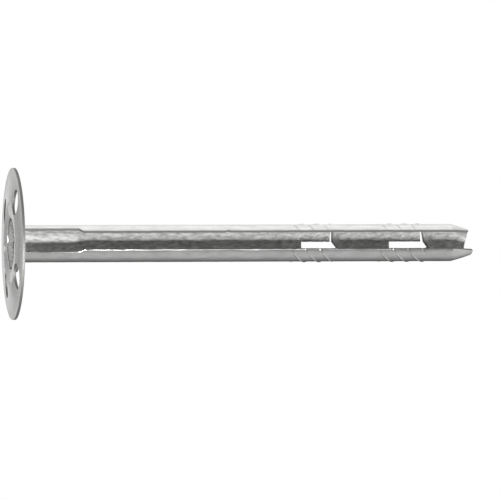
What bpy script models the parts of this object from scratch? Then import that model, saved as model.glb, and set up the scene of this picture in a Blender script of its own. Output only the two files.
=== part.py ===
"""Sheet-steel insulation anchor, hammer-in type: a split sleeve rolled from strip, its flared mouth seated in
a round pressed head plate.

The anchor stands on the face of its head. Z runs along the sleeve to its tip, and the sleeve's open slot
faces -Y. Lengths are in metres and angles in radians.
"""

import math

import bmesh
import bpy
from mathutils import Matrix, Vector

# Head plate, a disc pressed from sheet
PLATE_DIAMETER = 0.035
PLATE_SHEET = 0.0006
CROWN_DIAMETER = 0.0178
RIM_SETBACK = 0.00075
PLATE_DISHING = 1.2
HUB_ROUNDING = 0.0008
HUB_DEPTH = 0.0026
PLATE_TURN = math.radians(4.5)

# Its round holes and the grooves pressed between them
HOLE_COUNT = 4
HOLE_DIAMETER = 0.0059
GROOVE_START = 0.006
GROOVE_END = 0.0096
GROOVE_WIDTH = 0.0024
GROOVE_DEPTH = 0.00035

# Sleeve, rolled from strip with a slot left open
SLEEVE_DIAMETER = 0.00863
SLEEVE_SHEET = 0.00085
SLEEVE_LENGTH = 0.1072
SLOT_WIDTH = 0.00444

# Flared mouth at the head
MOUTH_DIAMETER = 0.0113
MOUTH_SETBACK = 0.0006
FLARE_LENGTH = 0.005

# Strip edges cut back beside the head, one more than the other
NECK_LENGTH = 0.0152
NECK_SHOULDER = 0.0011
NECK_CUT_LEFT = 0.0009
NECK_CUT_RIGHT = 0.0005

# Tapered tip, whose end is cropped unevenly
TIP_TAPER = 0.00505
TIP_DIAMETER = 0.00555
TIP_ROUNDING = 1.15
TIP_DIP = 0.0006
TIP_STEP = 0.00065

# Two expansion stations, each a window that ends in a cross slit with a lip pressed in beyond it
STATION_TO_TIP = 0.0187
STATION_PITCH = 0.0205
FIRST_WINDOW_LENGTH = 0.0067
LAST_WINDOW_LENGTH = 0.0077
WINDOW_WIDTH = 0.00236
FIRST_WINDOW_POINT = 0.0017
LAST_WINDOW_POINT = 0.0011
POINT_OFFSET = 0.0008
SLIT_GAP = 0.0001
SLIT_ARC = 0.0114
LIP_LENGTH = 0.0029
LIP_DEPTH = 0.0011
LIP_NARROWING = 0.55

# Helical grip ribs beside each window
RIB_PITCH = 0.0034
RIB_LEAD = 0.0182
RIB_WIDTH = 0.0006
RIB_HEIGHT = 0.00013
RIB_ROOT = 0.00012
RIB_BAND = 0.0034
RIB_CLEARANCE = 0.0004

# Room between the sleeve's flare and the plate's hub
SEAT_CLEARANCE = 0.0003

# Mesh steps
WINDOW_COLUMNS = 4
SLIT_COLUMNS = 9
EDGE_COLUMNS = 12
LIP_ROWS = 5
RIB_STEPS = 20
FLARE_ROWS = 7
TAPER_ROWS = 4
HUB_ROWS = 4
PLATE_ROWS = [6, 4]
PLATE_SPOKES = 64
HOLE_SIDES = 36

# Values that follow from the sizes above
SLEEVE_RADIUS = SLEEVE_DIAMETER / 2
MOUTH_RADIUS = MOUTH_DIAMETER / 2
FLARE_END = MOUTH_SETBACK + FLARE_LENGTH
NECK_END = MOUTH_SETBACK + NECK_LENGTH
TIP_Z = MOUTH_SETBACK + SLEEVE_LENGTH
HUB_RADIUS = MOUTH_RADIUS + SEAT_CLEARANCE + HUB_ROUNDING
WINDOW_ANGLE = WINDOW_WIDTH / SLEEVE_DIAMETER
POINT_ANGLE = -POINT_OFFSET / SLEEVE_RADIUS
SLIT_ANGLE = SLIT_ARC / SLEEVE_DIAMETER
COLUMNS = WINDOW_COLUMNS + SLIT_COLUMNS + EDGE_COLUMNS


def spread(stops, counts):
    """Values from the first stop to the last, with the given number of equal steps between each two."""
    values = [stops[0]]
    for start, end, count in zip(stops, stops[1:], counts):
        values += [start + (end - start) * k / count for k in range(1, count + 1)]
    return values


def clear_scene():
    for old in list(bpy.data.objects):
        bpy.data.objects.remove(old, do_unlink=True)


def metal(name, colour, roughness):
    material = bpy.data.materials.new(name)
    material.use_nodes = True
    shader = material.node_tree.nodes["Principled BSDF"]
    shader.inputs["Base Color"].default_value = (*colour, 1.0)
    shader.inputs["Metallic"].default_value = 1.0
    shader.inputs["Roughness"].default_value = roughness
    return material


def add_object(name, bm, material=None):
    mesh = bpy.data.meshes.new(name)
    bm.to_mesh(mesh)
    bm.free()
    if material:
        mesh.materials.append(material)
        mesh.shade_smooth()
        mesh.set_sharp_from_angle(angle=math.radians(35))
    obj = bpy.data.objects.new(name, mesh)
    bpy.context.scene.collection.objects.link(obj)
    return obj


def thicken(obj, thickness):
    """Gives a sheet its thickness, away from the side that its normals face."""
    solid = obj.modifiers.new("sheet", "SOLIDIFY")
    solid.thickness = thickness
    solid.offset = -1.0
    solid.use_even_offset = True


def sleeve_radius(z):
    """Outer radius: flared at the mouth, straight, then tapered to the tip."""
    if z < FLARE_END:
        left = (FLARE_END - z) / FLARE_LENGTH
        return SLEEVE_RADIUS + (MOUTH_RADIUS - SLEEVE_RADIUS) * left**3
    if z > TIP_Z - TIP_TAPER:
        along = (z - TIP_Z + TIP_TAPER) / TIP_TAPER
        return SLEEVE_RADIUS - (SLEEVE_DIAMETER - TIP_DIAMETER) / 2 * along**TIP_ROUNDING
    return SLEEVE_RADIUS


def edge_angle(z, side):
    """Angle from the strip's centre line to its edge. The strip keeps its width where the flare opens it."""
    slot_angle = math.pi - math.asin(SLOT_WIDTH / 2 / min(sleeve_radius(z), SLEEVE_RADIUS))
    cut = NECK_CUT_LEFT if side > 0 else NECK_CUT_RIGHT
    past_neck = min(max((z - NECK_END) / NECK_SHOULDER, 0.0), 1.0)
    angle = slot_angle - cut / SLEEVE_RADIUS * (1.0 - past_neck)
    middle = SLEEVE_SHEET / 2
    return angle * (SLEEVE_RADIUS - middle) / (sleeve_radius(z) - middle) if z < FLARE_END else angle


def column_angle(z, column):
    """Angle of a column of the strip's mesh, which keeps lines on the windows' and slits' ends."""
    side = -1 if column < 0 else 1
    steps = abs(column)
    if steps <= WINDOW_COLUMNS:
        return side * WINDOW_ANGLE * steps / WINDOW_COLUMNS
    steps -= WINDOW_COLUMNS
    if steps <= SLIT_COLUMNS:
        return side * (WINDOW_ANGLE + (SLIT_ANGLE - WINDOW_ANGLE) * steps / SLIT_COLUMNS)
    steps -= SLIT_COLUMNS
    return side * (SLIT_ANGLE + (edge_angle(z, side) - SLIT_ANGLE) * steps / EDGE_COLUMNS)


def stations():
    """Height of each window's square end and of the slit at its other end, and the length of its point."""
    last = TIP_Z - STATION_TO_TIP
    first = last - STATION_PITCH
    return [
        (first, first + FIRST_WINDOW_LENGTH, FIRST_WINDOW_POINT),
        (last, last + LAST_WINDOW_LENGTH, LAST_WINDOW_POINT),
    ]


def point_share(angle):
    """How far a window reaches past its slit, as a share of its off-centre point."""
    if abs(angle) >= WINDOW_ANGLE:
        return 0.0
    side = WINDOW_ANGLE if angle > POINT_ANGLE else -WINDOW_ANGLE
    return (side - angle) / (side - POINT_ANGLE)


def tip_setback(angle):
    """How far the tip's end stays short of its longest place: a dip in the middle and a step to one side."""
    dip = math.cos(max(-math.pi / 2, min(math.pi / 2, 0.8 * angle))) ** 2
    step = (1.0 + math.sin(max(-math.pi / 2, min(math.pi / 2, angle)))) / 2
    return TIP_DIP * dip + TIP_STEP * step


def lip_depth(along, angle):
    """How far the wall is pressed in, at a distance past the slit: most at the slit, nothing at its ends."""
    across = min(abs(angle) / SLIT_ANGLE, 1.0)
    left = 1.0 - along / (LIP_LENGTH * (1.0 - LIP_NARROWING * across))
    return LIP_DEPTH * (1.0 - across**3) * left**1.5 if 0.0 < left <= 1.0 else 0.0


def sleeve_rows():
    """Rows of the strip's mesh: height, the slit's height, the window's point, and what starts there."""
    plain = spread([MOUTH_SETBACK, FLARE_END, NECK_END, NECK_END + NECK_SHOULDER], [FLARE_ROWS, 1, 1])
    rows = [(z, None, 0.0, None) for z in plain]
    for window, slit, point in stations():
        rows += [(window, None, 0.0, "window"), (slit - SLIT_GAP, None, 0.0, "slit")]
        for k in range(LIP_ROWS + 1):
            rows.append((slit + LIP_LENGTH * k / LIP_ROWS, slit, point * (1.0 - k / LIP_ROWS), None))
    rows += [(z, None, 0.0, None) for z in spread([TIP_Z - TIP_TAPER, TIP_Z], [TAPER_ROWS])]
    return rows


def is_punched(kind, column):
    """Whether the cell that starts at a column is cut away, by the window or by the slit beside it."""
    reach = {"window": WINDOW_COLUMNS, "slit": WINDOW_COLUMNS + SLIT_COLUMNS}.get(kind, 0)
    return -reach <= column < reach


def split_sleeve(material):
    """The strip with its windows and slits, rolled up, its lips pressed in, then thickened and ribbed."""
    bm = bmesh.new()
    rows = sleeve_rows()
    points = {}
    for row, (height, slit, point, _) in enumerate(rows):
        tapered = max(0.0, (height - TIP_Z + TIP_TAPER) / TIP_TAPER)
        for column in range(-COLUMNS, COLUMNS + 1):
            angle = column_angle(height, column)
            z = height + point * point_share(angle) - tapered * tip_setback(angle)
            radius = sleeve_radius(z) - (lip_depth(z - slit, angle) if slit else 0.0)
            points[row, column] = bm.verts.new((-radius * math.sin(angle), radius * math.cos(angle), z))
    for row in range(len(rows) - 1):
        for column in range(-COLUMNS, COLUMNS):
            if not is_punched(rows[row][3], column):
                corners = [(row, column), (row, column + 1), (row + 1, column + 1), (row + 1, column)]
                bm.faces.new([points[corner] for corner in corners])
    bmesh.ops.delete(bm, geom=[v for v in bm.verts if not v.link_faces], context="VERTS")
    sleeve = add_object("split_sleeve", bm, material)
    thicken(sleeve, SLEEVE_SHEET)
    join_ribs(sleeve)
    return sleeve


def rib_may_pass(angle, z, window):
    """Whether a rib can run at a place: on the strip, clear of its edges and of the window."""
    if abs(angle) > edge_angle(z, angle) - RIB_CLEARANCE / SLEEVE_RADIUS:
        return False
    beside = WINDOW_ANGLE + (RIB_CLEARANCE + RIB_WIDTH) / SLEEVE_RADIUS
    return abs(angle) > beside or z < window - RIB_CLEARANCE - RIB_WIDTH


def rib_runs():
    """Each rib's points as (angle, height), broken where a window or the strip's edge is in its way."""
    runs = []
    for window, slit, _ in stations():
        low = window - RIB_BAND
        high = slit - RIB_CLEARANCE - RIB_WIDTH / 2
        for k in range(math.ceil((high - low + RIB_LEAD) / RIB_PITCH)):
            run = []
            for step in range(-RIB_STEPS, RIB_STEPS + 1):
                angle = math.pi * step / RIB_STEPS
                z = low + RIB_LEAD * (angle / math.tau - 0.5) + k * RIB_PITCH
                if low <= z <= high and rib_may_pass(angle, z, window):
                    run.append((angle, z))
                else:
                    runs.append(run)
                    run = []
            runs.append(run)
    return [run for run in runs if len(run) > 1]


def join_ribs(sleeve):
    """Joins the ribs to the sleeve. Each is a swept bar with sloping sides, sunk a little into the wall."""
    bm = bmesh.new()
    across = RIB_WIDTH / 2
    crest = RIB_WIDTH / 6
    section = [(-across, -RIB_ROOT), (across, -RIB_ROOT), (crest, RIB_HEIGHT), (-crest, RIB_HEIGHT)]
    for run in rib_runs():
        rings = []
        for angle, z in run:
            ring = []
            for shift, rise in section:
                radius = SLEEVE_RADIUS + rise
                place = (-radius * math.sin(angle), radius * math.cos(angle), z + shift)
                ring.append(bm.verts.new(place))
            rings.append(ring)
        for first, second in zip(rings, rings[1:]):
            for k in range(4):
                after = (k + 1) % 4
                bm.faces.new((first[k], first[after], second[after], second[k]))
        bm.faces.new(reversed(rings[0]))
        bm.faces.new(rings[-1])
    bmesh.ops.recalc_face_normals(bm, faces=bm.faces)
    ribs = add_object("rib_bars", bm)
    ribs.hide_render = True
    ribs.display_type = "WIRE"
    ribs.parent = sleeve
    union = sleeve.modifiers.new("ribs", "BOOLEAN")
    union.operation = "UNION"
    union.solver = "EXACT"
    union.object = ribs


def plate_profile():
    """Radius and height along the plate's front face, from its bore to its rim."""
    hub = []
    for z in spread([HUB_DEPTH, MOUTH_SETBACK], [HUB_ROWS]):
        hub.append((sleeve_radius(z) + SEAT_CLEARANCE, z))
    turn = [(hub[-1][0] + 0.4 * HUB_ROUNDING, 0.3 * MOUTH_SETBACK), (HUB_RADIUS, 0.0)]
    crown_end = CROWN_DIAMETER / 2
    rim = PLATE_DIAMETER / 2
    rings = spread([HUB_RADIUS, GROOVE_END, rim], PLATE_ROWS)
    outer = []
    for radius in rings[1:]:
        sweep = max(0.0, (radius - crown_end) / (rim - crown_end))
        outer.append((radius, RIM_SETBACK * sweep**PLATE_DISHING))
    return hub + turn + outer


def groove_depth(radius, angle):
    """Depth of the nearest radial groove, which is rounded across and at its ends."""
    step = math.tau / HOLE_COUNT
    turn = (angle + step / 2) % step - step / 2
    across = radius * math.sin(turn)
    along = radius * math.cos(turn)
    past = max(GROOVE_START + GROOVE_WIDTH / 2 - along, along - GROOVE_END + GROOVE_WIDTH / 2, 0.0)
    off = math.hypot(across, past) / (GROOVE_WIDTH / 2)
    return GROOVE_DEPTH * math.cos(off * math.pi / 2) ** 2 if off < 1.0 else 0.0


def head_plate(material):
    """A disc pressed into a shallow dish with a sunk hub, then pierced."""
    bm = bmesh.new()
    rings = []
    for radius, z in plate_profile():
        ring = []
        for spoke in range(PLATE_SPOKES):
            angle = math.tau * spoke / PLATE_SPOKES
            pressed = groove_depth(radius, angle)
            ring.append(bm.verts.new((radius * math.cos(angle), radius * math.sin(angle), z + pressed)))
        rings.append(ring)
    for inner, outer in zip(rings, rings[1:]):
        for spoke in range(PLATE_SPOKES):
            after = (spoke + 1) % PLATE_SPOKES
            bm.faces.new((inner[spoke], inner[after], outer[after], outer[spoke]))
    plate = add_object("head_plate", bm, material)
    plate.rotation_euler.z = -math.pi / 2 + PLATE_TURN
    thicken(plate, PLATE_SHEET)
    pierce(plate)
    return plate


def pierce(plate):
    """Cuts the ring of round holes, midway between the hub and the rim and between the grooves."""
    bm = bmesh.new()
    depth = 8 * (RIM_SETBACK + PLATE_SHEET)
    reach = (HUB_RADIUS + PLATE_DIAMETER / 2) / 2
    for k in range(HOLE_COUNT):
        angle = math.tau * (k + 0.5) / HOLE_COUNT
        place = Vector((math.cos(angle), math.sin(angle), 0.0)) * reach
        turned = Matrix.Translation(place) @ Matrix.Rotation(angle, 4, "Z")
        radius = HOLE_DIAMETER / 2
        bmesh.ops.create_cone(
            bm, cap_ends=True, segments=HOLE_SIDES, radius1=radius, radius2=radius, depth=depth, matrix=turned
        )
    cutter = add_object("hole_cutter", bm)
    cutter.hide_render = True
    cutter.display_type = "WIRE"
    cutter.parent = plate
    cut = plate.modifiers.new("holes", "BOOLEAN")
    cut.operation = "DIFFERENCE"
    cut.solver = "EXACT"
    cut.object = cutter


def main():
    clear_scene()
    bpy.context.scene.unit_settings.system = "METRIC"
    bpy.context.scene.unit_settings.scale_length = 1.0
    split_sleeve(metal("zinc_rolled_strip", (0.56, 0.57, 0.58), 0.3))
    head_plate(metal("zinc_pressed_plate", (0.52, 0.53, 0.54), 0.38))


main()
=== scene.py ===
"""Sheet-steel insulation anchor, hammer-in type, standing on the face of its head in a pale studio.

The sleeve is rolled from galvanised strip, with a slot left open, two windows, cross slits with pressed-in
lips and helical grip ribs. The round head plate is pressed from sheet. Lengths are in metres, +Z is up.
"""

import math

import bmesh
import bpy
from bpy.props import FloatProperty, FloatVectorProperty, IntProperty, PointerProperty
from mathutils import Matrix, Vector, noise


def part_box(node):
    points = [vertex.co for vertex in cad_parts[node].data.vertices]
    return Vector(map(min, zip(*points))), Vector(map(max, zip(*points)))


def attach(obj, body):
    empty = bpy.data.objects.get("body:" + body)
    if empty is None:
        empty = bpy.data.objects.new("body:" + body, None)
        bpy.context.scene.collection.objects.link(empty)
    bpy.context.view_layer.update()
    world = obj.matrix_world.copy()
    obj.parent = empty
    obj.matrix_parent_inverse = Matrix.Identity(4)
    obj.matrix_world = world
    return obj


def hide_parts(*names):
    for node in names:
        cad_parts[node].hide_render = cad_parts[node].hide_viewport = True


bl_info = {
    "name": "Sheet-steel insulation anchor",
    "version": (1, 0, 0),
    "blender": (4, 5, 0),
    "location": "3D View > Sidebar > Anchor",
    "description": "Builds a hammer-in insulation anchor with a round head plate",
    "category": "Add Mesh",
}

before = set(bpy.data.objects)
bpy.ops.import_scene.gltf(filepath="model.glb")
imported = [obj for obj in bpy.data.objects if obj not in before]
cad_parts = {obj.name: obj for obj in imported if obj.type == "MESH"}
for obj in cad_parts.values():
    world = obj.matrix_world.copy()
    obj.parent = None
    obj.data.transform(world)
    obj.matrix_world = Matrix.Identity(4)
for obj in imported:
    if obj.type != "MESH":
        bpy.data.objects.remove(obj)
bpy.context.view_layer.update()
SLEEVE_LOW, SLEEVE_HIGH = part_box("split_sleeve")
PLATE_LOW, PLATE_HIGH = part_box("head_plate")

# Mesh rows of the sleeve and the hub. The flare's and the hub's rows are crowded towards the outer edge.
FLARE_ROWS = 30
HUB_ROWS = 24
ROW_CROWDING = 1.8
SHOULDER_ROWS = 12
LIP_ROWS = 18
TAPER_ROWS = 24
HUB_TURN_STEPS = 6
# Shares of a side's columns that lie on its half of a window, and from there to a slit's end.
WINDOW_COLUMNS = 0.12
SLIT_COLUMNS = 0.42
# Waves of the sheared edges: length, row of the noise and share. Each side has its own line of the noise.
EDGE_WAVES = ((0.0021, 0.0, 1.0), (0.0006, 9.0, 0.5))
EDGE_LINE = 3.7
NICK_REACH = 0.0004
# Burrs: place and reach in lengths of the neck's shoulder, breadth, and the noise that crumples them.
BURR_PLACE = 0.9
BURR_REACH = 1.6
BURR_BREADTH = 0.0009
CRUMPLE_LEVEL = 0.35
CRUMPLE_SWING = 1.6
CRUMPLE_SIZE = 0.00055
CRUMPLE_ACROSS = 1.3
CRUMPLE_ROW = 4.0
# Powers that form the pressed lip, across and along the sleeve, and the recess of the plate's face.
LIP_FLATNESS = 3
LIP_CURVE = 1.5
RECESS_CURVE = 1.4
# The slant at the strip's middle, as a share of its rise from there to its end.
SLANT_MIDDLE = 1 / 3
BEVEL_ANGLE = math.radians(50)
HOLE_SIDES = 96
CUTTER_DEPTH = 0.01

# Texture: ranges in which the noise's clouds and streaks show, and how the streaks spread the roughness.
CLOUD_RANGE = (0.35, 0.65)
STREAK_RANGE = (0.3, 0.7)
ROUGHNESS_SPREAD = (-0.04, 0.05)
BURNISHED_ROUGHNESS = 0.36
BURNISHED_FADE = 1.4
FLOOR_ROUGHNESS = 0.9

# Light level of the surround over the angle about the sleeve, in degrees from the camera upwards.
LIGHT_ABOUT = [
    (-180, 0.6), (-155, 0.06), (-130, 0.2), (-112, 0.3), (-95, 0.47), (-78, 0.5), (-60, 0.48),
    (-45, 0.28), (-32, 0.1), (-20, 0.1), (-8, 0.05), (8, 0.0), (22, 0.0), (33, 0.02), (45, 0.2),
    (60, 0.34), (78, 0.6), (95, 1.05), (125, 1.07), (180, 0.6),
]
# Z of the direction from and to which the surround passes to another level: twice downwards, once upwards.
LIGHT_ALONG = ((-0.12, -0.35, 0.22), (-0.38, -0.55, 0.85), (0.3, 0.6, 0.6))
# Metal mirrors the white backdrop past this angle from the camera, in radians, and above this height.
# Each fades in from its first value to its second.
BACKDROP_ANGLE = (2.76, 2.94)
BACKDROP_HEIGHT = (-0.2, -0.1)
# Way to the key softbox: up in the picture, towards the camera and along the sleeve, in shares of its
# distance. Place of the softbox over the tip: up and along the sleeve, in metres. The share of its distance
# by which the lamp at the camera lies towards the head.
KEY_WAY = (0.85, 0.45, 0.25)
TOP_PLACE = (0.2, 1.1)
FRONT_DROP = 0.1
CLIP_START = 0.05
CLIP_END = 20.0


def linear(code):
    """Linear colour from an sRGB hex code."""
    levels = [int(code[i : i + 2], 16) / 255 for i in (0, 2, 4)]
    return [level / 12.92 if level <= 0.04045 else ((level + 0.055) / 1.055) ** 2.4 for level in levels]


def length(name, description, default):
    return FloatProperty(
        name=name, description=description, default=default, min=0.0, precision=5, unit="LENGTH"
    )


def angle_of(name, description, degrees):
    return FloatProperty(
        name=name, description=description, default=math.radians(degrees), unit="ROTATION"
    )


def share(name, description, default):
    return FloatProperty(
        name=name, description=description, default=default, min=0.0, max=1.0, subtype="FACTOR"
    )


def power(name, description, default):
    return FloatProperty(name=name, description=description, default=default, min=0.0, unit="POWER")


def colour(name, description, code):
    return FloatVectorProperty(
        name=name, description=description, default=linear(code), min=0.0, max=1.0, size=3, subtype="COLOR"
    )


def clamp(value):
    return min(max(value, 0.0), 1.0)


class SleeveSettings(bpy.types.PropertyGroup):
    diameter: length("Diameter", "Outside of the straight sleeve", 0.00863)
    sheet: length("Sheet", "Thickness of the strip", 0.00062)
    slot_width: length("Slot", "Opening between the strip's edges", 0.00444)
    mouth_diameter: length("Mouth", "Outside of the flared mouth", SLEEVE_HIGH.x - SLEEVE_LOW.x)
    foot: length("Foot", "Height of the mouth's outer edge", 0.00115)
    tip: length("Tip", "Height of the tip", SLEEVE_HIGH.z)
    flare_length: length("Flare", "Length over which the mouth opens", 0.004)
    flare_sharpness: FloatProperty(name="Flare sharpness", description="1 is a cone", default=24.0, min=1.0)
    neck_length: length("Neck", "Length with its edges cut back", 0.01465)
    neck_shoulder: length("Neck shoulder", "Length of the slope back to full width", 0.0011)
    neck_cut_left: length("Left cut", "Cut at one edge of the neck", 0.001)
    neck_cut_right: length("Right cut", "Cut at the other edge of the neck", 0.0005)
    tip_taper: length("Taper", "Length of the tapered tip", 0.00505)
    tip_diameter: length("Tip diameter", "Outside of the tip's end", 0.00555)
    tip_dip: length("Tip dip", "Of the cropped end beside the strip's middle", 0.00095)
    tip_dip_place: angle_of("Tip dip place", "Where the dip is deepest, from the strip's middle", -30)
    tip_step: length("Tip step", "Between the cropped end's two sides", 0.0009)
    tip_rounding: FloatProperty(name="Tip rounding", description="1 is a cone", default=1.15, min=1.0)
    station_to_tip: length("Station to tip", "From the last window's start to the tip", 0.0187)
    station_pitch: length("Station pitch", "Between the two windows", 0.0205)
    first_window: length("First window", "Its length", 0.0067)
    last_window: length("Last window", "Its length", 0.0077)
    window_width: length("Window width", "Across both windows", 0.00236)
    first_point: length("First point", "How far the first window reaches past its slit", 0.0015)
    last_point: length("Last point", "How far the last window reaches past its slit", 0.0011)
    point_offset: length("Point offset", "Of the window's point from its middle", 0.0008)
    slit_gap: length("Slit gap", "Opening of the cross slits", 0.00006)
    slit_arc: length("Slit", "Its length along the wall", 0.0114)
    lip_length: length("Lip", "Length of the pressed-in wall", 0.0029)
    first_lip_depth: length("First lip depth", "How far the wall is pressed in", 0.0011)
    last_lip_depth: length("Last lip depth", "How far the wall is pressed in", 0.0015)
    first_opening: length("First opening", "How far the pressed lip draws back from its slit", 0.0002)
    last_opening: length("Last opening", "How far the pressed lip draws back from its slit", 0.00035)
    slant: length("Slant", "Rise of the last slit's cut from the middle to its end", 0.0005)
    slant_fade: length("Slant fade", "Over which the slant dies out along the sleeve", 0.003)
    lip_narrowing: share("Lip narrowing", "How much shorter the lip is at its ends", 0.55)
    rib_pitch: length("Rib pitch", "Between two ribs", 0.0034)
    rib_lead: length("Rib lead", "Climb of a rib in one turn", 0.0195)
    rib_start: share("Rib start", "Place round the sleeve where a rib starts", 0.472)
    rib_width: length("Rib width", "Across one rib", 0.0005)
    rib_height: length("Rib height", "Of a rib over the wall", 0.00016)
    rib_fade: length("Rib fade", "Over which a rib sinks in beside the strip's edge", 0.0011)
    edge_wave: length("Edge wave", "Waviness of the sheared edges", 0.00007)
    nick: length("Nick", "Depth of the nick in the left edge", 0.00032)
    nick_height: length("Nick height", "Where the nick is along the sleeve", 0.0507)
    burr: length("Burr", "Height of the burrs by the neck's shoulder", 0.00022)
    rib_band: length("Rib band", "Reach of the ribs before a window", 0.0034)
    edge_bevel: length("Edge rounding", "Of the sheared edges", 0.00005)
    row_step: length("Row step", "Of the mesh along the plain sleeve", 0.0007)
    fine_step: length("Fine step", "Of the mesh along the ribs", 0.0001)
    columns: IntProperty(name="Columns", description="From the centre line to an edge", default=43, min=12)


class PlateSettings(bpy.types.PropertyGroup):
    diameter: length("Diameter", "Of the head plate", PLATE_HIGH.x - PLATE_LOW.x)
    sheet: length("Sheet", "Thickness of the plate", 0.0006)
    crown_diameter: length("Crown", "Foremost ring of the face", 0.0194)
    crown_height: length("Crown height", "Of the foremost ring over the floor", 0.00005)
    rim_setback: length("Rim setback", "Height of the rim", 0.00072)
    dishing: FloatProperty(name="Dishing", description="1 is a cone", default=1.8, min=1.0)
    hub_rounding: length("Hub rounding", "Between the face and the hub", 0.0001)
    hub_recess: length("Hub recess", "Of the face round the hub behind the crown", 0.0003)
    hub_diameter: length("Hub", "Inside of the sunk hub", 0.0119)
    hub_depth: length("Hub depth", "Of the sunk hub", 0.0018)
    seat_clearance: length("Seat clearance", "Between the hub and the flare", 0.0001)
    turn: angle_of("Turn", "Of the holes about the sleeve", 4.5)
    holes: IntProperty(name="Holes", description="Round holes in the plate", default=4, min=1)
    hole_diameter: length("Hole", "Diameter of a hole", 0.0059)
    hole_circle: length("Hole circle", "Radius at which the holes lie", 0.012125)
    groove_start: length("Groove start", "Radius at its inner end", 0.006)
    groove_end: length("Groove end", "Radius at its outer end", 0.0096)
    groove_width: length("Groove width", "Across a groove", 0.0024)
    groove_depth: length("Groove depth", "Of a groove", 0.00035)
    edge_bevel: length("Edge rounding", "Of the sheared edges", 0.00008)
    spokes: IntProperty(name="Spokes", description="Steps round the plate", default=288, min=24)
    ring_step: length("Ring step", "Of the mesh along a radius", 0.0003)


class FinishSettings(bpy.types.PropertyGroup):
    strip: colour("Strip", "Zinc coat of the rolled strip", "EDEDEC")
    strip_shade: colour("Strip shade", "Duller zinc in its clouds", "DDDDDC")
    strip_roughness: share("Strip roughness", "Of the rolled strip", 0.16)
    # The inside's colours are set darker than the strip's, which paints shade inside the sleeve.
    bore: colour("Inside", "Zinc coat inside the sleeve", "CACAC9")
    bore_shade: colour("Inside shade", "Duller zinc in its clouds", "949493")
    bore_roughness: share("Inside roughness", "Of the sleeve's inside", 0.5)
    bore_bare: share("Bare inside", "Share of bare metal under the oxide", 0.36)
    plate: colour("Plate", "Zinc coat of the pressed plate", "E2E2E1")
    plate_shade: colour("Plate shade", "Duller zinc in its clouds", "D2D2D1")
    plate_roughness: share("Plate roughness", "Of the pressed plate", 0.26)
    edge: colour("Sheared edge", "Steel with a smear of zinc", "747472")
    edge_roughness: share("Edge roughness", "Of the sheared edges", 0.45)
    edge_bare: share("Bare edge", "Share of the sheared edges that is bright metal", 0.3)
    plate_edge: colour("Plate edge", "Matt grey of the broken steel", "8C8C8A")
    plate_edge_roughness: share("Plate edge roughness", "Of the punched edges", 0.62)


class StageSettings(bpy.types.PropertyGroup):
    floor_size: length("Floor", "Side of the square floor", 3.0)
    floor: colour("Floor colour", "Pale matt board", "F2F2F0")
    backdrop: colour("Backdrop", "White behind the object", "FFFFFF")
    turn: angle_of("Camera turn", "About the sleeve, from its slot", 11.5)
    yaw: angle_of("Camera yaw", "Towards the head's face", 8.7)
    roll: angle_of("Camera roll", "Of the sleeve in the picture", 0.18)
    lens: FloatProperty(name="Lens", description="Focal length", default=1500.0, min=50.0, unit="CAMERA")
    view_width: length("View width", "Width seen at the object", 0.11505)
    centre_along: length("Centre along", "From the rim's plane to the picture's centre", 0.05473)
    centre_across: length("Centre across", "From the axis to the picture's centre", 0.0014)
    key_power: power("Key", "Softbox above the sleeve", 0.05)
    key_size: length("Key size", "Side of the softbox", 0.3)
    key_distance: length("Key distance", "From the object", 0.5)
    top_power: power("Top", "Softbox over the tip", 0.1)
    front_power: power("Front", "Lamp by the camera", 3.4)
    front_angle: angle_of("Front angle", "Of the lamp from the camera, in the picture's plane", -20)
    front_size: length("Front size", "Side of the lamp", 0.1)


def add_node(tree, kind, sockets=None, **settings):
    """A new node. A socket's value is set, or linked where it is another node's output."""
    node = tree.nodes.new(kind)
    for name, value in settings.items():
        setattr(node, name, value)
    for name, value in (sockets or {}).items():
        if isinstance(value, bpy.types.NodeSocket):
            tree.links.new(value, node.inputs[name])
        else:
            node.inputs[name].default_value = value
    return node


def new_tree(owner):
    owner.use_nodes = True
    owner.node_tree.nodes.clear()
    return owner.node_tree


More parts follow.
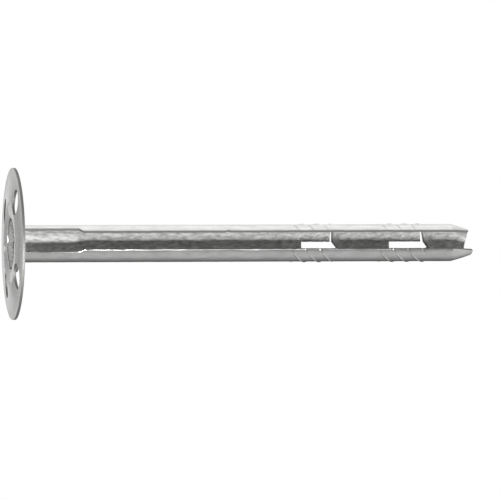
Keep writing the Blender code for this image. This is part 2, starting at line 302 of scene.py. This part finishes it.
def zinc(name, bright, shade, roughness, grain, waves, cloud, depths, bare=1.0, burnished=0.0):
    """Galvanised steel. Grain, waves and cloud are patterns' sizes in metres along X, Y and Z.

    Depths are the reliefs of the grain and the waves. Bare is the share that is bright metal, and below
    the height of burnished it is all bright.
    """
    material = bpy.data.materials.new(name)
    tree = new_tree(material)
    place = add_node(tree, "ShaderNodeTexCoord").outputs["Object"]
    patterns = []
    for sizes, detail, roughening in ((grain, 3.0, 0.5), (waves, 2.0, 0.5), (cloud, 5.0, 0.6)):
        scaled = add_node(tree, "ShaderNodeMapping", {"Vector": place, "Scale": [1 / size for size in sizes]})
        sockets = {
            "Vector": scaled.outputs["Vector"],
            "Scale": 1.0,
            "Detail": detail,
            "Roughness": roughening,
        }
        patterns.append(add_node(tree, "ShaderNodeTexNoise", sockets).outputs["Fac"])
    streaks, rolled, clouds = patterns
    patches = add_node(
        tree,
        "ShaderNodeMapRange",
        {"Value": clouds, "From Min": CLOUD_RANGE[0], "From Max": CLOUD_RANGE[1]},
    )
    tint = add_node(
        tree,
        "ShaderNodeMix",
        {"Factor": patches.outputs["Result"], "A": (*bright, 1.0), "B": (*shade, 1.0)},
        data_type="RGBA",
    )
    dullness = add_node(
        tree,
        "ShaderNodeMapRange",
        {
            "Value": streaks,
            "From Min": STREAK_RANGE[0],
            "From Max": STREAK_RANGE[1],
            "To Min": roughness + ROUGHNESS_SPREAD[0],
            "To Max": roughness + ROUGHNESS_SPREAD[1],
        },
    )
    swell = add_node(tree, "ShaderNodeBump", {"Height": rolled, "Strength": 1.0, "Distance": depths[1]})
    relief = add_node(
        tree,
        "ShaderNodeBump",
        {"Height": streaks, "Strength": 1.0, "Distance": depths[0], "Normal": swell.outputs["Normal"]},
    )
    sockets = {
        "Base Color": tint.outputs["Result"],
        "Metallic": bare,
        "Roughness": dullness.outputs["Result"],
        "Normal": relief.outputs["Normal"],
    }
    if burnished:
        height = add_node(tree, "ShaderNodeSeparateXYZ", {"Vector": place}).outputs["Z"]
        ends = {"Value": height, "From Min": burnished, "From Max": burnished * BURNISHED_FADE}
        rubbed = add_node(tree, "ShaderNodeMapRange", {**ends, "To Min": 1.0, "To Max": bare})
        smoothed = add_node(
            tree,
            "ShaderNodeMapRange",
            {**ends, "To Min": BURNISHED_ROUGHNESS, "To Max": dullness.outputs["Result"]},
        )
        sockets["Metallic"] = rubbed.outputs["Result"]
        sockets["Roughness"] = smoothed.outputs["Result"]
    shader = add_node(tree, "ShaderNodeBsdfPrincipled", sockets)
    add_node(tree, "ShaderNodeOutputMaterial", {"Surface": shader.outputs["BSDF"]})
    return material


def add_piece(name, bm, materials):
    mesh = bpy.data.meshes.new(name)
    bm.to_mesh(mesh)
    bm.free()
    for material in materials:
        mesh.materials.append(material)
    mesh.shade_smooth()
    piece = bpy.data.objects.new(name, mesh)
    bpy.context.scene.collection.objects.link(piece)
    return piece


def thicken(piece, thickness, bevel, inside=0):
    """Gives a sheet its thickness and rounds its sheared edges, which take the second material."""
    solid = piece.modifiers.new("sheet", "SOLIDIFY")
    solid.thickness = thickness
    solid.offset = -1.0
    solid.use_even_offset = True
    solid.material_offset_rim = 1
    solid.material_offset = inside
    rounding = piece.modifiers.new("edges", "BEVEL")
    rounding.width = bevel
    rounding.segments = 2
    rounding.limit_method = "ANGLE"
    rounding.angle_limit = BEVEL_ANGLE


def spread(stops, counts):
    """Values from the first stop to the last, with the given number of equal steps between each two."""
    values = [stops[0]]
    for start, end, count in zip(stops, stops[1:], counts):
        values += [start + (end - start) * k / count for k in range(1, count + 1)]
    return values


def steps(start, end, step):
    return spread([start, end], [max(1, round((end - start) / step))])


class Sleeve:
    """The rolled strip's form, as a surface over the angle round the sleeve and the height."""

    def __init__(self, settings):
        self.s = settings
        self.radius = settings.diameter / 2
        self.flare_end = settings.foot + settings.flare_length
        self.neck_end = settings.foot + settings.neck_length
        self.window_angle = settings.window_width / settings.diameter
        self.slit_angle = settings.slit_arc / settings.diameter
        self.point_angle = -settings.point_offset / self.radius
        last = settings.tip - settings.station_to_tip
        first = last - settings.station_pitch
        self.stations = [
            (first, first + settings.first_window, settings.first_point),
            (last, last + settings.last_window, settings.last_point),
        ]
        self.lips = {
            self.stations[0][1]: (settings.first_lip_depth, settings.first_opening),
            self.stations[1][1]: (settings.last_lip_depth, settings.last_opening),
        }

    def radius_at(self, z):
        """Outside radius of the plain sleeve, with its flare and its taper."""
        if z < self.flare_end:
            left = (self.flare_end - z) / self.s.flare_length
            return self.radius + (self.s.mouth_diameter / 2 - self.radius) * left**self.s.flare_sharpness
        if z > self.s.tip - self.s.tip_taper:
            along = (z - self.s.tip + self.s.tip_taper) / self.s.tip_taper
            return self.radius - (self.s.diameter - self.s.tip_diameter) / 2 * along**self.s.tip_rounding
        return self.radius

    def edge_at(self, z, side):
        """Angle of the strip's edge, which is left where the side is positive."""
        slot = math.pi - math.asin(self.s.slot_width / 2 / min(self.radius_at(z), self.radius))
        cut = self.s.neck_cut_left if side > 0 else self.s.neck_cut_right
        past_neck = clamp((z - self.neck_end) / self.s.neck_shoulder)
        angle = slot - cut / self.radius * (1.0 - past_neck)
        wave = sum(part * noise.noise((z / size, EDGE_LINE * side, row)) for size, row, part in EDGE_WAVES)
        angle += self.s.edge_wave * wave / self.radius
        if side > 0:
            angle -= self.s.nick / self.radius * clamp(1.0 - abs(z - self.s.nick_height) / NICK_REACH)
        middle = self.s.sheet / 2
        if z < self.flare_end:
            return angle * (self.radius - middle) / (self.radius_at(z) - middle)
        return angle

    def column_angle(self, z, column):
        """Angle of a column, which keeps lines on the ends of the windows and slits."""
        side = -1 if column < 0 else 1
        count = abs(column)
        for start, end, columns in self.bands(z, side):
            if count <= columns:
                return side * (start + (end - start) * count / columns)
            count -= columns
        raise ValueError("the column is outside the strip")

    def bands(self, z, side):
        """Start, end and number of columns of the three bands from the centre line to the edge."""
        window = max(2, round(self.s.columns * WINDOW_COLUMNS))
        slit = round(self.s.columns * SLIT_COLUMNS)
        edge = self.edge_at(z, side)
        return [
            (0.0, self.window_angle, window),
            (self.window_angle, self.slit_angle, slit),
            (self.slit_angle, edge, self.s.columns - window - slit),
        ]

    def point_share(self, angle):
        """Reach of a window's point past its slit, as a share of the point's length."""
        if abs(angle) >= self.window_angle:
            return 0.0
        side = self.window_angle if angle > self.point_angle else -self.window_angle
        return (side - angle) / (side - self.point_angle)

    def tip_setback(self, height, angle):
        """How far the cropped tip stays short of its longest place."""
        taper = self.s.tip_taper
        tapered = max(0.0, (height - self.s.tip + taper) / taper)
        dip = math.cos(max(-math.pi / 2, min(math.pi / 2, angle - self.s.tip_dip_place))) ** 2
        step = (1.0 + angle / self.edge_at(self.s.tip, 1.0)) / 2
        return tapered * (self.s.tip_dip * dip + self.s.tip_step * step)

    def slant(self, height, angle):
        """How far the last slit's slanting cut draws the wall along the sleeve."""
        near = clamp(1.0 - abs(height - self.stations[1][1]) / self.s.slant_fade)
        return -self.s.slant * near * (math.sin(angle) + SLANT_MIDDLE)

    def lip(self, slit, z, angle):
        """How far the pressed-in lip lies inwards, and how far it is drawn back from its slit."""
        across = clamp(abs(angle) / self.slit_angle)
        left = 1.0 - (z - slit) / (self.s.lip_length * (1.0 - self.s.lip_narrowing * across))
        if not 0.0 < left <= 1.0:
            return 0.0, 0.0
        depth, opening = self.lips[slit]
        pressed = 1.0 - across**LIP_FLATNESS
        return depth * pressed * left**LIP_CURVE, opening * pressed * left

    def rib(self, z, angle):
        """Height of the nearest rib over the wall."""
        s = self.s
        for window, slit, _ in self.stations:
            low = window - s.rib_band
            if not low - s.rib_width < z < slit + s.rib_width / 4:
                continue
            start = low + s.rib_lead * (angle / math.tau - s.rib_start)
            off = (z - start + s.rib_pitch / 2) % s.rib_pitch - s.rib_pitch / 2
            crest = round((z - start - off) / s.rib_pitch) * s.rib_pitch + start
            inside = clamp((z - low + s.rib_width) / s.rib_width)
            inside *= clamp((slit - crest) / s.rib_width) * clamp((crest - low) / s.rib_width)
            if window - s.rib_width < z:
                inside *= clamp((abs(angle) - self.window_angle) * self.radius / s.rib_width)
            # The angle picks the side and also moves the edge's waves, so that the ribs end unevenly.
            inside *= clamp((self.edge_at(z, angle) - abs(angle)) * self.radius / s.rib_fade)
            if abs(off) < s.rib_width / 2:
                return s.rib_height * inside * math.cos(math.pi * off / s.rib_width) ** 2
        return 0.0

    def burr(self, z, angle):
        """Height of the crumpled burrs on the right edge, by the neck's shoulder."""
        shoulder = self.s.neck_shoulder
        past = abs(z - self.neck_end - shoulder * BURR_PLACE) / (shoulder * BURR_REACH)
        inward = (self.edge_at(z, -1.0) + angle) * self.radius / BURR_BREADTH
        if past >= 1.0 or not 0.0 <= inward < 1.0:
            return 0.0
        swing = noise.noise((z / CRUMPLE_SIZE, inward * CRUMPLE_ACROSS, CRUMPLE_ROW))
        crumple = max(0.0, CRUMPLE_LEVEL + CRUMPLE_SWING * swing)
        return self.s.burr * crumple * (1.0 - past) * (1.0 - inward)

    def rows(self):
        """Each row's height, its lip's slit, the window's point there and what is cut away after it."""
        s = self.s
        flare = [s.foot + s.flare_length * (k / FLARE_ROWS) ** ROW_CROWDING for k in range(FLARE_ROWS)]
        plain = spread(
            [self.flare_end, self.neck_end, self.neck_end + s.neck_shoulder],
            [round((self.neck_end - self.flare_end) / s.row_step), SHOULDER_ROWS],
        )
        rows = [(z, None, 0.0, None) for z in flare + plain]
        for window, slit, point in self.stations:
            low = window - s.rib_band - s.rib_width
            rows += [(z, None, 0.0, None) for z in steps(rows[-1][0], low, s.row_step)[1:]]
            rows += [(z, None, 0.0, None) for z in steps(low, window, s.fine_step)[1:-1]]
            rows += [(z, None, 0.0, "window") for z in steps(window, slit - s.slit_gap, s.fine_step)[:-1]]
            rows.append((slit - s.slit_gap, None, 0.0, "slit"))
            for k in range(LIP_ROWS + 1):
                rows.append((slit + s.lip_length * k / LIP_ROWS, slit, point * (1.0 - k / LIP_ROWS), None))
        taper = s.tip - s.tip_taper
        rows += [(z, None, 0.0, None) for z in steps(rows[-1][0], taper - s.row_step, s.row_step)[1:]]
        rows += [(z, None, 0.0, None) for z in spread([taper, s.tip], [TAPER_ROWS])]
        return rows


class ANCHOR_OT_sleeve(bpy.types.Operator):
    """Builds the sleeve rolled from galvanised strip"""

    bl_idname = "anchor.sleeve"
    bl_label = "Build sleeve"

    def execute(self, context):
        form = Sleeve(context.scene.anchor_sleeve)
        finish = context.scene.anchor_finish
        count = form.s.columns
        bm = bmesh.new()
        rows = form.rows()
        points = []
        for height, slit, point, _ in rows:
            line = []
            for column in range(-count, count + 1):
                angle = form.column_angle(height, column)
                z = height + point * form.point_share(angle) - form.tip_setback(height, angle)
                drawn = form.slant(height, angle)
                radius = form.radius_at(z) + form.rib(z, angle)
                if slit:
                    inward, back = form.lip(slit, z, angle)
                    radius -= inward
                    z += back
                radius += form.burr(z, angle)
                line.append(bm.verts.new((-radius * math.sin(angle), radius * math.cos(angle), z + drawn)))
            points.append(line)
        window, slit, _ = (columns for _, _, columns in form.bands(form.neck_end, 1))
        reach = {"window": window, "slit": window + slit}
        for (lower, upper), row in zip(zip(points, points[1:]), rows):
            cut = reach.get(row[3], 0)
            for k in range(2 * count):
                if not count - cut <= k < count + cut:
                    bm.faces.new((lower[k], lower[k + 1], upper[k + 1], upper[k]))
        bmesh.ops.delete(bm, geom=[v for v in bm.verts if not v.link_faces], context="VERTS")
        # Cold-rolled strip with a thin zinc coat: fine streaks along the sleeve, faint clouds of duller zinc.
        # The real streaks are under 0.05 mm wide and are drawn 0.2 mm wide, so that they show.
        strip = zinc(
            "galvanised_rolled_strip", finish.strip, finish.strip_shade, finish.strip_roughness,
            grain=(0.0002, 0.0002, 0.006), waves=(0.0011, 0.0011, 0.004), cloud=(0.0016, 0.0016, 0.004),
            depths=(0.000009, 0.00005),
        )
        # Sheared edge of the strip: torn steel smeared with zinc. It is partly matt, with marks across the
        # sheet.
        edge = zinc(
            "sheared_strip_edge", finish.edge, finish.edge, finish.edge_roughness,
            grain=(0.0008, 0.0008, 0.0002), waves=(0.0006, 0.0006, 0.0012), cloud=(0.0008, 0.0008, 0.0016),
            depths=(0.000003, 0.00002), bare=finish.edge_bare,
        )
        # Inside of the rolled strip: the same zinc under a thin pale bloom of zinc oxide. It is partly matt,
        # and bright in the mouth, where the press rubbed the bloom away. Its colours are set darker than the
        # outer coat's, which paints shade inside the sleeve.
        bore = zinc(
            "galvanised_strip_inside_painted_shade", finish.bore, finish.bore_shade, finish.bore_roughness,
            grain=(0.0002, 0.0002, 0.003), waves=(0.0006, 0.0006, 0.0018), cloud=(0.0006, 0.0006, 0.0016),
            depths=(0.000006, 0.00002), bare=finish.bore_bare, burnished=form.flare_end / 2,
        )
        sleeve = add_piece("sleeve_body", bm, [strip, edge, bore])
        thicken(sleeve, form.s.sheet, form.s.edge_bevel, inside=2)
        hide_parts("split_sleeve")
        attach(sleeve, "root")
        return {"FINISHED"}


def face_height(plate, radius, edge):
    """Height of the plate's face: a shallow recess round the hub, the crown and the dished rim."""
    crown = plate.crown_diameter / 2
    if radius < crown:
        return plate.crown_height + plate.hub_recess * ((crown - radius) / (crown - edge)) ** RECESS_CURVE
    left = (plate.diameter / 2 - radius) / (plate.diameter / 2 - crown)
    return plate.crown_height + (plate.rim_setback - plate.crown_height) * (1.0 - left**plate.dishing)


def hub_profile(plate, sleeve):
    """Radius and height along the plate's front face, from its bore to its rim."""
    form = Sleeve(sleeve)
    hub = []
    for k in range(HUB_ROWS, -1, -1):
        z = sleeve.foot + (plate.hub_depth - sleeve.foot) * (k / HUB_ROWS) ** ROW_CROWDING
        hub.append((form.radius_at(z) + plate.seat_clearance, z))
    edge = plate.hub_diameter / 2
    top = face_height(plate, edge + plate.hub_rounding, edge)
    turn = [(edge, sleeve.foot)]
    for k in range(HUB_TURN_STEPS + 1):
        around = math.pi / 2 * k / HUB_TURN_STEPS
        radius = edge + plate.hub_rounding * (1 - math.cos(around))
        turn.append((radius, top + plate.hub_rounding * (1 - math.sin(around))))
    outer = steps(turn[-1][0], plate.diameter / 2, plate.ring_step)[1:]
    return hub + turn + [(radius, face_height(plate, radius, edge)) for radius in outer]


def groove_depth(plate, radius, angle):
    """Depth of the nearest radial groove, rounded across and at its ends."""
    step = math.tau / plate.holes
    turn = (angle + step / 2) % step - step / 2
    across = radius * math.sin(turn)
    along = radius * math.cos(turn)
    half = plate.groove_width / 2
    past = max(plate.groove_start + half - along, along - plate.groove_end + half, 0.0)
    off = math.hypot(across, past) / half
    return plate.groove_depth * math.cos(off * math.pi / 2) ** 2 if off < 1.0 else 0.0


class ANCHOR_OT_plate(bpy.types.Operator):
    """Builds the round head plate pressed from galvanised sheet"""

    bl_idname = "anchor.plate"
    bl_label = "Build head plate"

    def execute(self, context):
        plate = context.scene.anchor_plate
        finish = context.scene.anchor_finish
        bm = bmesh.new()
        rings = []
        for radius, z in hub_profile(plate, context.scene.anchor_sleeve):
            ring = []
            for spoke in range(plate.spokes):
                angle = math.tau * spoke / plate.spokes
                pressed = z + groove_depth(plate, radius, angle)
                ring.append(bm.verts.new((radius * math.cos(angle), radius * math.sin(angle), pressed)))
            rings.append(ring)
        for inner, outer in zip(rings, rings[1:]):
            for k in range(plate.spokes):
                after = (k + 1) % plate.spokes
                bm.faces.new((inner[k], inner[after], outer[after], outer[k]))
        turn = Matrix.Rotation(plate.turn - math.pi / 2, 4, "Z")
        bm.transform(turn)
        # Pressed sheet with a zinc coat: smoothed by the tool, so its grain has no direction.
        # The real grain is under 0.05 mm wide and is drawn 0.3 mm wide.
        coat = zinc(
            "galvanised_pressed_sheet", finish.plate, finish.plate_shade, finish.plate_roughness,
            grain=(0.0003, 0.0003, 0.0003), waves=(0.0016, 0.0016, 0.0016), cloud=(0.0018, 0.0018, 0.0018),
            depths=(0.0000015, 0.00002),
        )
        # Punched edge of the sheet: steel without zinc, matt and darker where it broke.
        edge = zinc(
            "sheared_plate_edge", finish.plate_edge, finish.plate_edge, finish.plate_edge_roughness,
            grain=(0.0003, 0.0003, 0.0008), waves=(0.0006, 0.0006, 0.0012), cloud=(0.0008, 0.0008, 0.0008),
            depths=(0.000003, 0.00001),
        )
        body = add_piece("plate_body", bm, [coat, edge])
        thicken(body, plate.sheet, plate.edge_bevel)
        self.pierce(plate, body, turn)
        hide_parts("head_plate")
        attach(body, "root")
        return {"FINISHED"}

    def pierce(self, plate, body, turn):
        """Cuts the round holes before the edges are rounded."""
        bm = bmesh.new()
        for k in range(plate.holes):
            angle = math.tau * (k + 0.5) / plate.holes
            place = Vector((math.cos(angle), math.sin(angle), 0.0)) * plate.hole_circle
            bmesh.ops.create_cone(
                bm,
                cap_ends=True,
                segments=HOLE_SIDES,
                radius1=plate.hole_diameter / 2,
                radius2=plate.hole_diameter / 2,
                depth=CUTTER_DEPTH,
                matrix=turn @ Matrix.Translation(place),
            )
        cutter = add_piece("hole_cutter", bm, list(body.data.materials)[1:])
        cut = body.modifiers.new("holes", "BOOLEAN")
        cut.operation = "DIFFERENCE"
        cut.solver = "EXACT"
        cut.object = cutter
        cut.material_mode = "TRANSFER"
        body.modifiers.move(len(body.modifiers) - 1, 1)
        bpy.context.view_layer.update()
        shape = bpy.data.meshes.new_from_object(body.evaluated_get(bpy.context.evaluated_depsgraph_get()))
        body.modifiers.clear()
        body.data = shape
        bpy.data.objects.remove(cutter, do_unlink=True)


def picture_axes(stage):
    """Directions in the photograph: towards the camera across the sleeve, and up."""
    towards = Vector((math.sin(stage.turn), -math.cos(stage.turn), 0.0))
    up = Vector((-math.cos(stage.turn), -math.sin(stage.turn), 0.0))
    return towards, up


def add_area(name, place, target, size, watts):
    """A square lamp at a place, turned to its target."""
    lamp = bpy.data.lights.new(name, "AREA")
    lamp.size = size
    lamp.energy = watts
    light = bpy.data.objects.new(name, lamp)
    light.location = place
    light.rotation_euler = (target - place).to_track_quat("-Z", "Y").to_euler()
    bpy.context.scene.collection.objects.link(light)
    return light


def build_world(scene, stage):
    """A pale surround that is darker below and beside the camera, with a white backdrop."""
    world = bpy.data.worlds.new("studio")
    scene.world = world
    tree = new_tree(world)
    towards, up = picture_axes(stage)
    look = add_node(tree, "ShaderNodeTexCoord").outputs["Generated"]
    across = add_node(tree, "ShaderNodeVectorMath", {0: look, 1: up}, operation="DOT_PRODUCT")
    ahead = add_node(tree, "ShaderNodeVectorMath", {0: look, 1: towards}, operation="DOT_PRODUCT")
    around = add_node(
        tree, "ShaderNodeMath", {0: across.outputs["Value"], 1: ahead.outputs["Value"]}, operation="ARCTAN2"
    )
    place = add_node(
        tree,
        "ShaderNodeMapRange",
        {"Value": around.outputs["Value"], "From Min": -math.pi, "From Max": math.pi},
    )
    ramp = add_node(tree, "ShaderNodeValToRGB", {"Fac": place.outputs["Result"]})
    elements = ramp.color_ramp.elements
    while len(elements) < len(LIGHT_ABOUT):
        elements.new(0.5)
    for element, (degrees, level) in zip(elements, LIGHT_ABOUT):
        element.position = (degrees + 180) / 360
        element.color = (level, level, level, 1.0)
    height = add_node(tree, "ShaderNodeSeparateXYZ", {"Vector": look}).outputs["Z"]
    surround = ramp.outputs["Color"]
    for start, end, level in LIGHT_ALONG:
        reached = add_node(tree, "ShaderNodeMapRange", {"Value": height, "From Min": start, "From Max": end})
        sockets = {"Factor": reached.outputs["Result"], "A": surround, "B": (level, level, level, 1.0)}
        surround = add_node(tree, "ShaderNodeMix", sockets, data_type="RGBA").outputs["Result"]
    turned = add_node(tree, "ShaderNodeMath", {0: around.outputs["Value"]}, operation="ABSOLUTE")
    cone = add_node(
        tree,
        "ShaderNodeMapRange",
        {"Value": turned.outputs["Value"], "From Min": BACKDROP_ANGLE[0], "From Max": BACKDROP_ANGLE[1]},
    )
    behind = add_node(
        tree,
        "ShaderNodeMapRange",
        {
            "Value": height,
            "From Min": BACKDROP_HEIGHT[0],
            "From Max": BACKDROP_HEIGHT[1],
            "To Max": cone.outputs["Result"],
        },
    )
    path = add_node(tree, "ShaderNodeLightPath")
    mirrored = add_node(
        tree,
        "ShaderNodeMath",
        {0: path.outputs["Is Glossy Ray"], 1: path.outputs["Is Transmission Ray"]},
        operation="MAXIMUM",
    )
    reflected = add_node(
        tree,
        "ShaderNodeMath",
        {0: mirrored.outputs["Value"], 1: behind.outputs["Result"]},
        operation="MULTIPLY",
    )
    seen = add_node(
        tree,
        "ShaderNodeMath",
        {0: path.outputs["Is Camera Ray"], 1: reflected.outputs["Value"]},
        operation="MAXIMUM",
    )
    light = add_node(
        tree,
        "ShaderNodeMix",
        {"Factor": seen.outputs["Value"], "A": surround, "B": (*stage.backdrop, 1.0)},
        data_type="RGBA",
    )
    background = add_node(tree, "ShaderNodeBackground", {"Color": light.outputs["Result"], "Strength": 1.0})
    add_node(tree, "ShaderNodeOutputWorld", {"Surface": background.outputs["Background"]})


def floor_material(stage):
    """Matt pale board. From below it isn't there, so that the head's face is seen and lit."""
    material = bpy.data.materials.new("pale_matt_board")
    tree = new_tree(material)
    path = add_node(tree, "ShaderNodeLightPath")
    side = add_node(tree, "ShaderNodeNewGeometry")
    above = add_node(tree, "ShaderNodeMath", {0: 1.0, 1: side.outputs["Backfacing"]}, operation="SUBTRACT")
    shown = add_node(
        tree,
        "ShaderNodeMath",
        {0: path.outputs["Is Camera Ray"], 1: above.outputs["Value"]},
        operation="MULTIPLY",
    )
    clear = add_node(tree, "ShaderNodeBsdfTransparent")
    board = add_node(
        tree,
        "ShaderNodeBsdfPrincipled",
        {"Base Color": (*stage.floor, 1.0), "Roughness": FLOOR_ROUGHNESS},
    )
    mixed = add_node(
        tree,
        "ShaderNodeMixShader",
        {0: shown.outputs["Value"], 1: clear.outputs["BSDF"], 2: board.outputs["BSDF"]},
    )
    add_node(tree, "ShaderNodeOutputMaterial", {"Surface": mixed.outputs["Shader"]})
    return material


class ANCHOR_OT_stage(bpy.types.Operator):
    """Builds the pale floor, the studio light and the camera"""

    bl_idname = "anchor.stage"
    bl_label = "Build stage"

    def execute(self, context):
        scene = context.scene
        stage = scene.anchor_stage
        scene.view_settings.view_transform = "Standard"
        build_world(scene, stage)
        bm = bmesh.new()
        bmesh.ops.create_grid(bm, x_segments=1, y_segments=1, size=stage.floor_size / 2)
        floor = add_piece("floor", bm, [floor_material(stage)])
        towards, up = picture_axes(stage)
        along = Vector((0.0, 0.0, 1.0))
        rim = scene.anchor_plate.rim_setback
        middle = along * scene.anchor_sleeve.tip / 2
        key_way = up * KEY_WAY[0] + towards * KEY_WAY[1] + along * KEY_WAY[2]
        key_place = middle + stage.key_distance * key_way
        key = add_area("key", key_place, middle, stage.key_size, stage.key_power)
        top_place = up * TOP_PLACE[0] + along * TOP_PLACE[1]
        top = add_area("top", top_place, middle, stage.key_size * 2, stage.top_power)
        front_way = towards * math.cos(stage.front_angle) + up * math.sin(stage.front_angle)
        front_place = middle + stage.key_distance * (front_way - along * FRONT_DROP)
        front = add_area("front", front_place, middle, stage.front_size, stage.front_power)

        facing = towards * math.cos(stage.yaw) - along * math.sin(stage.yaw)
        right = along * math.cos(stage.yaw) + towards * math.sin(stage.yaw)
        turned_right = (right - up * math.sin(stage.roll)).normalized()
        turned_up = (up + right * math.sin(stage.roll)).normalized()
        centre = along * rim + turned_right * stage.centre_along - turned_up * stage.centre_across
        camera = bpy.data.objects.new("camera", bpy.data.cameras.new("camera"))
        camera.data.lens = stage.lens
        camera.data.clip_start = CLIP_START
        camera.data.clip_end = CLIP_END
        distance = stage.view_width * stage.lens / camera.data.sensor_width
        axes = Matrix((turned_right, turned_up, facing)).transposed()
        camera.matrix_world = Matrix.Translation(centre + facing * distance) @ axes.to_4x4()
        scene.collection.objects.link(camera)
        scene.camera = camera
        return {"FINISHED"}


class ANCHOR_PT_panel(bpy.types.Panel):
    """Lists the anchor's settings and its operators"""

    bl_idname = "ANCHOR_PT_panel"
    bl_label = "Insulation anchor"
    bl_space_type = "VIEW_3D"
    bl_region_type = "UI"
    bl_category = "Anchor"

    def draw(self, context):
        for operator, settings in (
            ("anchor.sleeve", context.scene.anchor_sleeve),
            ("anchor.plate", context.scene.anchor_plate),
            ("anchor.stage", context.scene.anchor_stage),
            (None, context.scene.anchor_finish),
        ):
            box = self.layout.box()
            if operator:
                box.operator(operator)
            for name in settings.__annotations__:
                box.prop(settings, name)


GROUPS = {
    "anchor_sleeve": SleeveSettings,
    "anchor_plate": PlateSettings,
    "anchor_finish": FinishSettings,
    "anchor_stage": StageSettings,
}
CLASSES = [*GROUPS.values(), ANCHOR_OT_sleeve, ANCHOR_OT_plate, ANCHOR_OT_stage, ANCHOR_PT_panel]


def register():
    for item in CLASSES:
        bpy.utils.register_class(item)
    for name, group in GROUPS.items():
        setattr(bpy.types.Scene, name, PointerProperty(type=group))


def unregister():
    for name in GROUPS:
        delattr(bpy.types.Scene, name)
    for item in reversed(CLASSES):
        bpy.utils.unregister_class(item)


def main():
    register()
    bpy.ops.anchor.sleeve()
    bpy.ops.anchor.plate()
    bpy.ops.anchor.stage()


if __name__ == "__main__":
    main()
